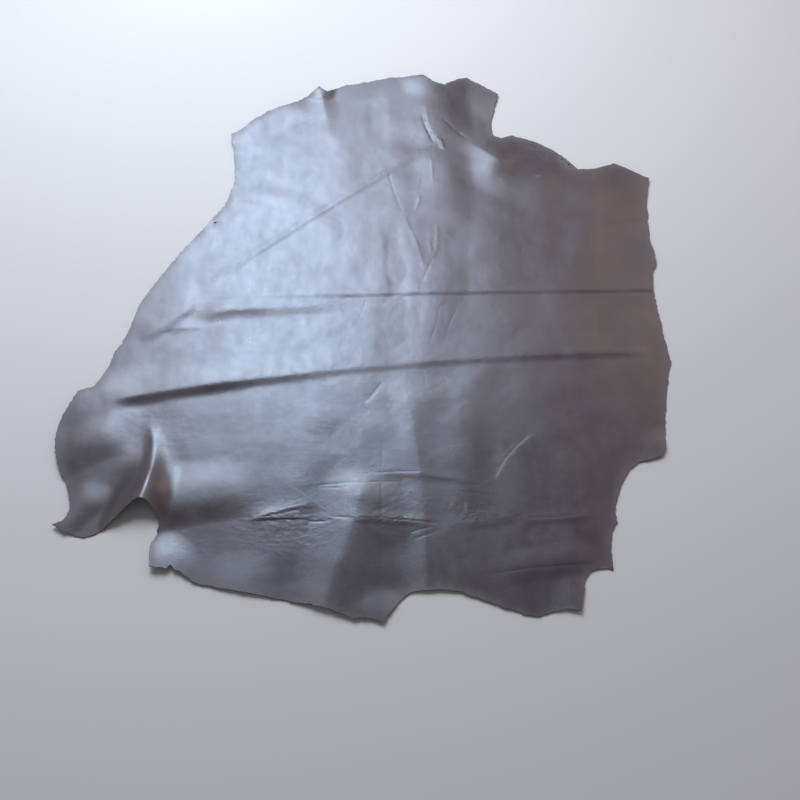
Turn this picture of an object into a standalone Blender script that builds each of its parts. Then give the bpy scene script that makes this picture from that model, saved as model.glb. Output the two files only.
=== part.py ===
"""A dressed leather hide, lying flat with its grain side up.

The hide is one sheet of even thickness. Its neck end points along +Y, its butt end along -Y and its
flanks along X. Most of its flesh side lies in the plane z = 0. From there it rises in the creases left
by storing it folded, in a pleat that stands open at the butt edge, in smaller creases and growth
wrinkles, and in a few low swells where the edge lifts.

The origin is in that plane, under the middle of the hide's box. Tables are in millimetres.
"""

import math
from collections import namedtuple

import bpy
import numpy as np
from mathutils.geometry import delaunay_2d_cdt

MM = 0.001

# Driving sizes, in millimetres.
THICKNESS = 1.6
EDGE_STEP = 10.0
GRID_STEP = 24.0
FOLD_STEP = 20.0
CLEARANCE_TO_EDGE = 6.0
CLEARANCE_TO_FOLD = 10.0

# Shares of a fold's width, from its crest to its foot, at which its rows of points lie.
FOLD_ROWS = (0.0, 0.3, 0.62, 1.0)

HIDE_COLOUR = (0.048, 0.035, 0.036, 1.0)
HIDE_ROUGHNESS = 0.42

# One knife cut of the edge: where it ends, and how far its middle bows out from the straight line.
Cut = namedtuple("Cut", "x y bow")

# The edge runs anticlockwise from the left corner of the neck, one table for each side of the animal.
LEFT_FLANK = (
    Cut(-246, 349, -2),
    Cut(-232, 250, -2),
    Cut(-253, 179, -4),
    Cut(-341, 30, 3),
    Cut(-359, -27, 3),
    Cut(-379, -83, -2),
    Cut(-398, -141, -2),
    Cut(-420, -151, 0),
    Cut(-438, -205, 1),
)
LEFT_SHANK = (
    Cut(-416, -288, 8),
    Cut(-402, -330, -1),
    Cut(-406, -346, 0),
    Cut(-421, -353, 0),
    Cut(-394, -367, 2),
    Cut(-358, -362, 5),
    Cut(-322, -334, 1),
    Cut(-303, -325, -2),
    Cut(-281, -347, -3),
    Cut(-288, -377, -2),
    Cut(-286, -413, 0),
)
BUTT = (
    Cut(-259, -415, 0),
    Cut(-229, -432, -2),
    Cut(-159, -446, 1),
    Cut(-59, -466, 0),
    Cut(-22, -480, 0),
    Cut(16, -486, -3),
    Cut(46, -448, -3),
    Cut(116, -446, -5),
    Cut(193, -474, 0),
    Cut(220, -474, 2),
    Cut(264, -470, -4),
)
RIGHT_SHANK = (
    Cut(272, -430, 1),
    Cut(283, -416, -1),
    Cut(310, -415, -1),
    Cut(313, -372, -1),
    Cut(323, -350, -1),
    Cut(322, -335, 0),
    Cut(342, -282, -3),
    Cut(364, -260, -2),
    Cut(394, -252, 1),
    Cut(401, -240, 1),
)
RIGHT_FLANK = (
    Cut(428, -97, -3),
    Cut(419, 36, -1),
    Cut(428, 76, -2),
    Cut(426, 118, 3),
    Cut(439, 251, -3),
)
RIGHT_SHOULDER = (
    Cut(387, 287, -1),
    Cut(346, 272, -2),
    Cut(326, 273, 0),
    Cut(295, 310, 1),
    Cut(222, 347, 5),
    Cut(206, 341, 0),
    Cut(189, 353, -3),
)
NECK = (
    Cut(205, 442, -3),
    Cut(151, 485, 2),
    Cut(114, 464, 3),
    Cut(78, 485, -5),
    Cut(19, 484, -1),
    Cut(-58, 467, 0),
    Cut(-90, 447, 1),
    Cut(-103, 458, 0),
    Cut(-142, 424, -1),
    Cut(-220, 371, 6),
)
EDGE = LEFT_FLANK + LEFT_SHANK + BUTT + RIGHT_SHANK + RIGHT_FLANK + RIGHT_SHOULDER + NECK

# How a fold falls away from its crest: the height left at a share d of its width is (1 - d**near)**far.
Shape = namedtuple("Shape", "near far")
EVEN = Shape(1.3, 1.5)
FLARED = Shape(1.3, 2.4)
SHARP = Shape(1.0, 1.7)
ROUND = Shape(2.0, 2.0)

# A fold is a ridge with its crest from one end to the other. The crest bows sideways, to the left as
# seen from the first end, and its rise goes evenly from the first end's to the second's. The fold is
# wide by so much on its left and on its right. It fades out over the given length before an end, and
# with no fade it runs open through the edge.
Fold = namedtuple("Fold", "name shape x0 y0 x1 y1 bow rise0 rise1 left right fade0 fade1")
FOLDS = (
    Fold("upper storage crease", EVEN, -276, 15, 440, 32, 3, 1.0, 1.0, 30, 8, 70, 0),
    Fold("short crease before it", EVEN, -274, -15, -24, 6, 2, 2.2, 0.9, 26, 17, 36, 70),
    Fold("left branch", EVEN, -348, -64, -252, 25, -3, 2.2, 1.5, 60, 14, 36, 44),
    Fold("lower storage crease", EVEN, -390, -168, 405, -81, 20, 0.6, 1.1, 40, 10, 60, 60),
    Fold("lower crease, left part", EVEN, -390, -168, -93, -115, 5, 2.3, 1.0, 50, 19, 70, 150),
    Fold("pleat", FLARED, -311, -350, -312, -206, -12, 26.0, 3.0, 56, 38, 0, 110),
    Fold("pleat's crest line", SHARP, -307, -324, -316, -190, -12, 3.0, 1.8, 16, 16, 40, 40),
    Fold("pleat's right shoulder", ROUND, -364, -344, -140, -294, 3, 6.0, 2.0, 56, 42, 96, 70),
    Fold("fall of the left flank", ROUND, -452, -176, -326, -142, 0, 6.5, 3.0, 48, 176, 0, 60),
    Fold("shank crease", ROUND, -446, -270, -336, -214, 6, 1.4, 2.0, 38, 34, 0, 40),
    Fold("shank tip crease", ROUND, -410, -356, -352, -296, 4, 3.6, 2.0, 30, 26, 0, 40),
    Fold("neck edge, left", ROUND, -236, 366, -120, 436, 0, 3.0, 3.0, 30, 44, 40, 40),
    Fold("neck edge, bump's fall", SHARP, -100, 446, -75, 316, 0, 2.4, 0.6, 26, 42, 12, 70),
    Fold("neck crease", SHARP, 78, 424, 113, 308, -7, 0.4, 0.3, 30, 6, 24, 20),
    Fold("neck's fall to the right", ROUND, 94, 480, 100, 320, 0, 5.0, 3.3, 62, 110, 0, 60),
    Fold("second neck crease", SHARP, 143, 337, 217, 265, 3, 3.4, 3.2, 100, 48, 36, 40),
    Fold("right of the neck creases", ROUND, 150, 306, 330, 196, 0, 4.5, 1.0, 60, 60, 60, 90),
    Fold("backbone", ROUND, 100, 344, 62, -70, 16, 2.2, 0.6, 54, 46, 60, 110),
    Fold("shoulder crease", ROUND, 337, 290, 311, 30, 0, 0.8, 0.5, 34, 34, 0, 90),
    Fold("shoulder sweep, left", ROUND, -234, 219, -46, 124, 19, 1.4, 1.0, 34, 18, 50, 50),
    Fold("long diagonal crease", SHARP, -262, 34, 88, 322, 4, 0.7, 0.6, 10, 7, 30, 30),
    Fold("butt ridge", EVEN, -3, -268, -65, -480, 0, 3.0, 5.6, 78, 54, 50, 0),
    Fold("butt crease", EVEN, 40, -120, 72, -448, 10, 1.6, 2.6, 150, 26, 50, 0),
    Fold("growth wrinkle, left", SHARP, -172, -350, -60, -320, 4, 0.4, 0.4, 20, 12, 24, 24),
    Fold("growth wrinkle, middle", SHARP, -34, -345, 80, -350, 2, 0.6, 0.6, 12, 8, 24, 24),
    Fold("growth wrinkle, right", SHARP, 196, -344, 296, -338, -3, 0.5, 0.5, 14, 8, 24, 24),
    Fold("growth wrinkle, back", SHARP, -12, -279, 160, -296, 6, 0.4, 0.3, 16, 8, 40, 70),
    Fold("right shank crease", ROUND, 150, -424, 296, -400, 6, 1.0, 1.0, 26, 22, 46, 20),
)

# A swell is a low hump, most of them where the edge lifts off what it lies on.
Swell = namedtuple("Swell", "name x y radius rise")
SWELLS = (
    Swell("left corner of the neck", -238, 352, 60, 3.0),
    Swell("bump on the neck edge", -101, 452, 30, 6.0),
    Swell("neck edge", 78, 478, 48, 2.5),
    Swell("right corner of the neck", 200, 430, 60, 2.5),
    Swell("tip of the right shoulder", 430, 262, 60, 3.0),
    Swell("right flank edge", 428, 90, 52, 2.0),
    Swell("right shank corner", 398, -248, 44, 2.5),
    Swell("lower right corner", 272, -464, 50, 3.0),
    Swell("butt tip", 14, -480, 46, 3.0),
    Swell("left flank step", -424, -172, 44, 0.5),
    Swell("left corner of the butt", -284, -426, 70, 8.0),
    Swell("butt edge, left", -172, -456, 72, 3.0),
)


def cut_points(start, cut):
    """The points of one cut, from just after its start up to its end."""
    dx, dy = cut.x - start.x, cut.y - start.y
    length = math.hypot(dx, dy)
    pieces = max(1, round(length / EDGE_STEP))
    points = []
    for piece in range(1, pieces + 1):
        t = piece / pieces
        out = 4 * t * (1 - t) * cut.bow / length
        points.append((start.x + dx * t + dy * out, start.y + dy * t - dx * out))
    return points


def edge_points():
    """The whole edge as a closed ring of points, anticlockwise."""
    ring = []
    start = EDGE[-1]
    for cut in EDGE:
        ring.extend(cut_points(start, cut))
        start = cut
    return np.array(ring)


def smooth(t):
    """0 below 0, 1 above 1, and an even S between."""
    t = np.clip(t, 0, 1)
    return t * t * (3 - 2 * t)


def falloff(shape, distance):
    return (1 - np.clip(distance, 0, 1) ** shape.near) ** shape.far


def fold_rise(fold, x, y):
    """How high the fold lifts the flesh side at each place."""
    dx, dy = fold.x1 - fold.x0, fold.y1 - fold.y0
    length = math.hypot(dx, dy)
    along = ((x - fold.x0) * dx + (y - fold.y0) * dy) / length
    aside = ((y - fold.y0) * dx - (x - fold.x0) * dy) / length
    share = np.clip(along / length, 0, 1)
    aside = aside - 4 * share * (1 - share) * fold.bow
    width = np.where(aside > 0, fold.left, fold.right)
    past_end = np.maximum(0, np.maximum(-along, along - length))
    rise = fold.rise0 + (fold.rise1 - fold.rise0) * share
    if fold.fade0:
        rise = rise * smooth(along / fold.fade0)
    if fold.fade1:
        rise = rise * smooth((length - along) / fold.fade1)
    return rise * falloff(fold.shape, np.hypot(aside, past_end) / width)


def swell_rise(swell, x, y):
    distance = np.hypot(x - swell.x, y - swell.y)
    return swell.rise * falloff(ROUND, distance / swell.radius)


def flesh_height(x, y):
    """How far the flesh side is above the plane it lies on."""
    folds = sum(fold_rise(fold, x, y) for fold in FOLDS)
    swells = sum(swell_rise(swell, x, y) for swell in SWELLS)
    return folds + swells


def is_inside(points, ring):
    """Which points lie inside the ring, by counting the sides that a ray towards +X crosses."""
    inside = np.zeros(len(points), bool)
    x, y = points[:, 0], points[:, 1]
    for (ax, ay), (bx, by) in zip(ring, np.roll(ring, -1, axis=0)):
        if ay == by:
            continue
        crosses = (ay > y) != (by > y)
        inside ^= crosses & (x < ax + (y - ay) * (bx - ax) / (by - ay))
    return inside


def far_from(points, others, least):
    """Which points are at least that far from all the others."""
    gaps = np.hypot(*(points[:, None, :] - others[None, :, :]).transpose(2, 0, 1))
    return gaps.min(axis=1) >= least


def fold_points():
    """Rows of points along each fold, so that the faces follow its crest and its feet."""
    points = []
    for fold in FOLDS:
        dx, dy = fold.x1 - fold.x0, fold.y1 - fold.y0
        length = math.hypot(dx, dy)
        pieces = max(2, round(length / FOLD_STEP))
        offsets = [fold.left * row for row in FOLD_ROWS] + [-fold.right * row for row in FOLD_ROWS[1:]]
        for offset in sorted(offsets, key=abs):
            for piece in range(pieces + 1):
                t = piece / pieces
                aside = (4 * t * (1 - t) * fold.bow + offset) / length
                points.append((fold.x0 + dx * t - dy * aside, fold.y0 + dy * t + dx * aside))
    return np.array(points)


def grid_points(low, high):
    """An even triangular grid over a box."""
    row_step = GRID_STEP * math.sqrt(3) / 2
    points = []
    for row, y in enumerate(np.arange(low[1], high[1], row_step)):
        for x in np.arange(low[0] + GRID_STEP / 2 * (row % 2), high[0], GRID_STEP):
            points.append((x, y))
    return np.array(points)


def thinned(points, least):
    """The points in their order, without any that lies too close to one before it."""
    kept = points[:1]
    for point in points[1:]:
        if np.hypot(*(kept - point).T).min() >= least:
            kept = np.vstack([kept, point])
    return kept


def inner_points(ring):
    on_folds = fold_points()
    on_folds = on_folds[is_inside(on_folds, ring)]
    on_folds = on_folds[far_from(on_folds, ring, CLEARANCE_TO_EDGE)]
    on_folds = thinned(on_folds, CLEARANCE_TO_EDGE)
    grid = grid_points(ring.min(axis=0), ring.max(axis=0))
    grid = grid[is_inside(grid, ring)]
    grid = grid[far_from(grid, ring, CLEARANCE_TO_FOLD)]
    grid = grid[far_from(grid, on_folds, CLEARANCE_TO_FOLD)]
    return np.vstack([on_folds, grid])


def make_flesh_side():
    """The flesh side as a mesh with its faces up, with the middle of its box over the origin."""
    ring = edge_points()
    middle = (ring.min(axis=0) + ring.max(axis=0)) / 2
    flat = [tuple(point) for point in np.vstack([ring, inner_points(ring)])]
    whole_edge = [list(range(len(ring)))]
    places, _, faces, _, _, _ = delaunay_2d_cdt(flat, [], whole_edge, 1, 1e-4)
    places = np.array(places)
    height = flesh_height(places[:, 0], places[:, 1])
    corners = np.column_stack([places - middle, height]) * MM
    mesh = bpy.data.meshes.new("hide")
    mesh.from_pydata(corners.tolist(), [], [list(face) for face in faces])
    mesh.shade_smooth()
    return mesh


def make_leather():
    material = bpy.data.materials.new("leather")
    material.use_nodes = True
    surface = material.node_tree.nodes["Principled BSDF"]
    surface.inputs["Base Color"].default_value = HIDE_COLOUR
    surface.inputs["Roughness"].default_value = HIDE_ROUGHNESS
    surface.inputs["Metallic"].default_value = 0.0
    material.diffuse_color = HIDE_COLOUR
    return material


def make_hide():
    hide = bpy.data.objects.new("hide", make_flesh_side())
    bpy.context.scene.collection.objects.link(hide)
    hide.data.materials.append(make_leather())
    sheet = hide.modifiers.new("thickness", "SOLIDIFY")
    sheet.thickness = THICKNESS * MM
    sheet.offset = 1.0
    sheet.use_even_offset = True
    sheet.use_quality_normals = True
    return hide


def main():
    for old in list(bpy.data.objects):
        bpy.data.objects.remove(old, do_unlink=True)
    make_hide()


main()
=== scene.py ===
"""The looks of the leather hide: its fine shape, its materials, a floor, studio light and the camera.

The hide of the frame is one coarse solid. Here one finer closed sheet stands for it, on the same cut edge
and the same folds, with the small wrinkles, creases, scuffs, holes and nicks that the solid leaves out.
Tables are in millimetres, in the plan of the hide with its neck end towards +Y. What goes to Blender is
in metres, in the frame's own place.
"""

import math
from collections import namedtuple

import bpy
import numpy as np
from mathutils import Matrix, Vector
from mathutils.geometry import delaunay_2d_cdt
from mathutils.kdtree import KDTree


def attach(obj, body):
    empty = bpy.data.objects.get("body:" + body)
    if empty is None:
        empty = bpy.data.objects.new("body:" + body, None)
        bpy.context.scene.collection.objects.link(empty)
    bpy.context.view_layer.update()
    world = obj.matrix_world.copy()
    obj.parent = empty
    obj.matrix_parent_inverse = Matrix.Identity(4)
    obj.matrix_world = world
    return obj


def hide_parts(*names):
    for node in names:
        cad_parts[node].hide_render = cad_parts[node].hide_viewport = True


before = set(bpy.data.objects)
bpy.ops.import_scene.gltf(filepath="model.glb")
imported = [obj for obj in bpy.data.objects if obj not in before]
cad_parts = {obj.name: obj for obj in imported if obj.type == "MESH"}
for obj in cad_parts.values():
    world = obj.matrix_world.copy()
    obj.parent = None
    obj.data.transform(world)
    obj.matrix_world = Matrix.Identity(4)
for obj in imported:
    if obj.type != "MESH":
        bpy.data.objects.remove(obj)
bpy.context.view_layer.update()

MM = 0.001

# ---------------------------------------------------------------------------------------------------
# The hide's sizes and tables, as in the solid.

THICKNESS = 1.6

# One knife cut of the edge: where it ends, and how far its middle bows out from the straight line.
Cut = namedtuple("Cut", "x y bow")

# The edge runs anticlockwise from the left corner of the neck, one table for each side of the animal.
LEFT_FLANK = (
    Cut(-246, 349, -2),
    Cut(-232, 250, -2),
    Cut(-253, 179, -4),
    Cut(-341, 30, 3),
    Cut(-359, -27, 3),
    Cut(-379, -83, -2),
    Cut(-398, -141, -2),
    Cut(-420, -151, 0),
    Cut(-438, -205, 1),
)
LEFT_SHANK = (
    Cut(-416, -288, 8),
    Cut(-402, -330, -1),
    Cut(-406, -346, 0),
    Cut(-421, -353, 0),
    Cut(-394, -367, 2),
    Cut(-358, -362, 5),
    Cut(-322, -334, 1),
    Cut(-303, -325, -2),
    Cut(-281, -347, -3),
    Cut(-288, -377, -2),
    Cut(-286, -413, 0),
)
BUTT = (
    Cut(-259, -415, 0),
    Cut(-229, -432, -2),
    Cut(-159, -446, 1),
    Cut(-59, -466, 0),
    Cut(-22, -480, 0),
    Cut(16, -486, -3),
    Cut(46, -448, -3),
    Cut(116, -446, -5),
    Cut(193, -474, 0),
    Cut(220, -474, 2),
    Cut(264, -470, -4),
)
RIGHT_SHANK = (
    Cut(272, -430, 1),
    Cut(283, -416, -1),
    Cut(310, -415, -1),
    Cut(313, -372, -1),
    Cut(323, -350, -1),
    Cut(322, -335, 0),
    Cut(342, -282, -3),
    Cut(364, -260, -2),
    Cut(394, -252, 1),
    Cut(401, -240, 1),
)
RIGHT_FLANK = (
    Cut(428, -97, -3),
    Cut(419, 36, -1),
    Cut(428, 76, -2),
    Cut(426, 118, 3),
    Cut(439, 251, -3),
)
RIGHT_SHOULDER = (
    Cut(387, 287, -1),
    Cut(346, 272, -2),
    Cut(326, 273, 0),
    Cut(295, 310, 1),
    Cut(222, 347, 5),
    Cut(206, 341, 0),
    Cut(189, 353, -3),
)
NECK = (
    Cut(205, 442, -3),
    Cut(151, 485, 2),
    Cut(114, 464, 3),
    Cut(78, 485, -5),
    Cut(19, 484, -1),
    Cut(-58, 467, 0),
    Cut(-90, 447, 1),
    Cut(-103, 458, 0),
    Cut(-142, 424, -1),
    Cut(-220, 371, 6),
)
EDGE = LEFT_FLANK + LEFT_SHANK + BUTT + RIGHT_SHANK + RIGHT_FLANK + RIGHT_SHOULDER + NECK

# How a fold falls away from its crest: the height left at a share d of its width is (1 - d**near)**far.
Shape = namedtuple("Shape", "near far")
EVEN = Shape(1.3, 1.5)
FLARED = Shape(1.3, 2.4)
SHARP = Shape(1.0, 1.7)
ROUND = Shape(2.0, 2.0)

# A fold is a ridge with its crest from one end to the other. The crest bows sideways, to the left as
# seen from the first end, and its rise goes evenly from the first end's to the second's. The fold is
# wide by so much on its left and on its right. It fades out over the given length before an end, and
# with no fade it runs open through the edge. A fold with a rise below zero is a groove.
Fold = namedtuple("Fold", "name shape x0 y0 x1 y1 bow rise0 rise1 left right fade0 fade1")
FOLDS = (
    Fold("upper storage crease", EVEN, -276, 15, 440, 32, 3, 1.0, 1.0, 30, 8, 70, 0),
    Fold("short crease before it", EVEN, -274, -15, -24, 6, 2, 2.2, 0.9, 26, 17, 36, 70),
    Fold("left branch", EVEN, -348, -64, -252, 25, -3, 2.2, 1.5, 60, 14, 36, 44),
    Fold("lower storage crease", EVEN, -390, -168, 405, -81, 20, 0.6, 1.1, 40, 10, 60, 60),
    Fold("lower crease, left part", EVEN, -390, -168, -93, -115, 5, 2.3, 1.0, 50, 19, 70, 150),
    Fold("pleat", FLARED, -311, -350, -312, -206, -12, 26.0, 3.0, 56, 38, 0, 110),
    Fold("pleat's crest line", SHARP, -307, -324, -316, -190, -12, 3.0, 1.8, 16, 16, 40, 40),
    Fold("pleat's right shoulder", ROUND, -364, -344, -140, -294, 3, 6.0, 2.0, 56, 42, 96, 70),
    Fold("fall of the left flank", ROUND, -452, -176, -326, -142, 0, 6.5, 3.0, 48, 176, 0, 60),
    Fold("shank crease", ROUND, -446, -270, -336, -214, 6, 1.4, 2.0, 38, 34, 0, 40),
    Fold("shank tip crease", ROUND, -410, -356, -352, -296, 4, 3.6, 2.0, 30, 26, 0, 40),
    Fold("neck edge, left", ROUND, -236, 366, -120, 436, 0, 3.0, 3.0, 30, 44, 40, 40),
    Fold("neck edge, bump's fall", SHARP, -100, 446, -75, 316, 0, 2.4, 0.6, 26, 42, 12, 70),
    Fold("neck crease", SHARP, 78, 424, 113, 308, -7, 0.4, 0.3, 30, 6, 24, 20),
    Fold("neck's fall to the right", ROUND, 94, 480, 100, 320, 0, 5.0, 3.3, 62, 110, 0, 60),
    Fold("second neck crease", SHARP, 143, 337, 217, 265, 3, 3.4, 3.2, 100, 48, 36, 40),
    Fold("right of the neck creases", ROUND, 150, 306, 330, 196, 0, 4.5, 1.0, 60, 60, 60, 90),
    Fold("backbone", ROUND, 100, 344, 62, -70, 16, 2.2, 0.6, 54, 46, 60, 110),
    Fold("shoulder crease", ROUND, 337, 290, 311, 30, 0, 0.8, 0.5, 34, 34, 0, 90),
    Fold("shoulder sweep, left", ROUND, -234, 219, -46, 124, 19, 1.4, 1.0, 34, 18, 50, 50),
    Fold("long diagonal crease", SHARP, -262, 34, 88, 322, 4, 0.7, 0.6, 10, 7, 30, 30),
    Fold("butt ridge", EVEN, -3, -268, -65, -480, 0, 3.0, 5.6, 78, 54, 50, 0),
    Fold("butt crease", EVEN, 40, -120, 72, -448, 10, 1.6, 2.6, 150, 26, 50, 0),
    Fold("growth wrinkle, left", SHARP, -172, -350, -60, -320, 4, 0.4, 0.4, 20, 12, 24, 24),
    Fold("growth wrinkle, middle", SHARP, -34, -345, 80, -350, 2, 0.6, 0.6, 12, 8, 24, 24),
    Fold("growth wrinkle, right", SHARP, 196, -344, 296, -338, -3, 0.5, 0.5, 14, 8, 24, 24),
    Fold("growth wrinkle, back", SHARP, -12, -279, 160, -296, 6, 0.4, 0.3, 16, 8, 40, 70),
    Fold("right shank crease", ROUND, 150, -424, 296, -400, 6, 1.0, 1.0, 26, 22, 46, 20),
)

# A swell is a low hump, most of them where the edge lifts off what it lies on.
Swell = namedtuple("Swell", "name x y radius rise")
SWELLS = (
    Swell("left corner of the neck", -238, 352, 60, 3.0),
    Swell("bump on the neck edge", -101, 452, 30, 6.0),
    Swell("neck edge", 78, 478, 48, 2.5),
    Swell("right corner of the neck", 200, 430, 60, 2.5),
    Swell("tip of the right shoulder", 430, 262, 60, 3.0),
    Swell("right flank edge", 428, 90, 52, 2.0),
    Swell("right shank corner", 398, -248, 44, 2.5),
    Swell("lower right corner", 272, -464, 50, 3.0),
    Swell("butt tip", 14, -480, 46, 3.0),
    Swell("left flank step", -424, -172, 44, 0.5),
    Swell("left corner of the butt", -284, -426, 70, 8.0),
    Swell("butt edge, left", -172, -456, 72, 3.0),
)

# ---------------------------------------------------------------------------------------------------
# The fine shape, which the solid leaves out.

# Wrinkles, hollows and steeper fronts of creases that the solid leaves out, in rows like the folds'.
WRINKLES = (
    Fold("left wrinkle, upper", SHARP, -154, -341, -86, -324, 0, 0.5, 0.3, 8, 4, 16, 24),
    Fold("left wrinkle, lower", SHARP, -166, -346, -84, -342, 1, 0.6, 0.4, 9, 4, 24, 24),
    Fold("butt edge ridge, left", ROUND, -170, -420, -76, -404, 0, 0.4, 0.4, 46, 24, 30, 30),
    Fold("upright hollow", ROUND, 148, -196, 156, -294, 6, -0.6, -0.6, 20, 20, 50, 50),
    Fold("right wrinkle, step", SHARP, 98, -358, 200, -338, -2, 0.6, 0.3, 18, 8, 40, 30),
    Fold("right wrinkle, hollow", ROUND, 194, -360, 236, -364, 0, -0.4, -0.3, 12, 12, 16, 16),
    Fold("upper wrinkle", SHARP, 17, -10, 46, -66, 2, 0.30, 0.2, 8, 16, 26, 22),
    Fold("lower wrinkle, upper", SHARP, 12, -126, -17, -168, 3, -0.3, -0.25, 6, 15, 20, 16),
    Fold("lower wrinkle, lower", SHARP, -17, -165, -6, -186, 0, -0.2, -0.2, 7, 5, 8, 12),
    Fold("storage crease's lip", SHARP, -60, 10, 436, 20, 3, 0.12, 0.16, 5, 9, 60, 0),
    Fold("left stroke", SHARP, -320, -45, -244, -38, 1, 0.9, 0.7, 18, 9, 34, 40),
    Fold("diagonal crease's front", SHARP, -201, 87, 39, 284, 2, 0.3, 0.3, 14, 6, 40, 60),
    Fold("short crease's front", EVEN, -252, -7, -138, 4, 1, 1.1, 0.8, 24, 14, 34, 46),
    Fold("lower crease's front", EVEN, -376, -163, -30, -108, 4, 1.1, 0.8, 36, 16, 40, 80),
    Fold("hollow left of the backbone", ROUND, 86, 200, 70, -50, 0, -0.7, -0.8, 50, 24, 50, 50),
    Fold("hollow beside the backbone", ROUND, 22, 170, 34, 6, 0, -0.6, -0.8, 20, 16, 60, 50),
    Fold("ridge left of it", ROUND, -32, 190, -41, 0, 0, 0.5, 0.5, 24, 24, 70, 60),
    Fold("hollow right of the backbone", ROUND, 131, 196, 126, 52, 0, -0.4, -0.4, 24, 22, 60, 50),
    Fold("right flank ridge, left", ROUND, 319, 10, 310, -80, 0, 0.3, 0.3, 14, 14, 40, 40),
    Fold("right flank ridge, right", ROUND, 373, 8, 362, -88, 0, 0.3, 0.3, 15, 15, 40, 40),
    Fold("right flank hollow", ROUND, 336, 168, 426, 182, 0, -0.8, -0.9, 22, 16, 40, 0),
    Fold("neck band", ROUND, -6, 440, 4, 290, 0, -0.7, -0.5, 22, 22, 30, 60),
    Fold("neck groove", SHARP, 75, 378, 92, 329, -1, -0.2, -0.3, 3, 3, 20, 6),
    Fold("neck ridge, lower", SHARP, 103, 341, 111, 310, 0, 0.4, 0.2, 4, 4, 6, 10),
    Fold("backbone ridge, first", SHARP, 88, 298, 89, 238, 0, 0.25, 0.15, 4, 4, 14, 20),
    Fold("backbone ridge, second", SHARP, 67, 220, 60, 184, 2, 0.25, 0.2, 4.5, 4, 10, 10),
    Fold("backbone ridge, third", SHARP, 41, 176, 75, 62, 4, 0.14, 0.16, 3.6, 6, 24, 16),
    Fold("backbone ridge, fourth", SHARP, 93, 164, 87, 88, 4, 0.2, 0.16, 7, 4, 18, 16),
    Fold("backbone ridge, fifth", SHARP, 80, 130, 87, 92, 0, 0.16, 0.12, 5, 4, 10, 10),
)

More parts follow.
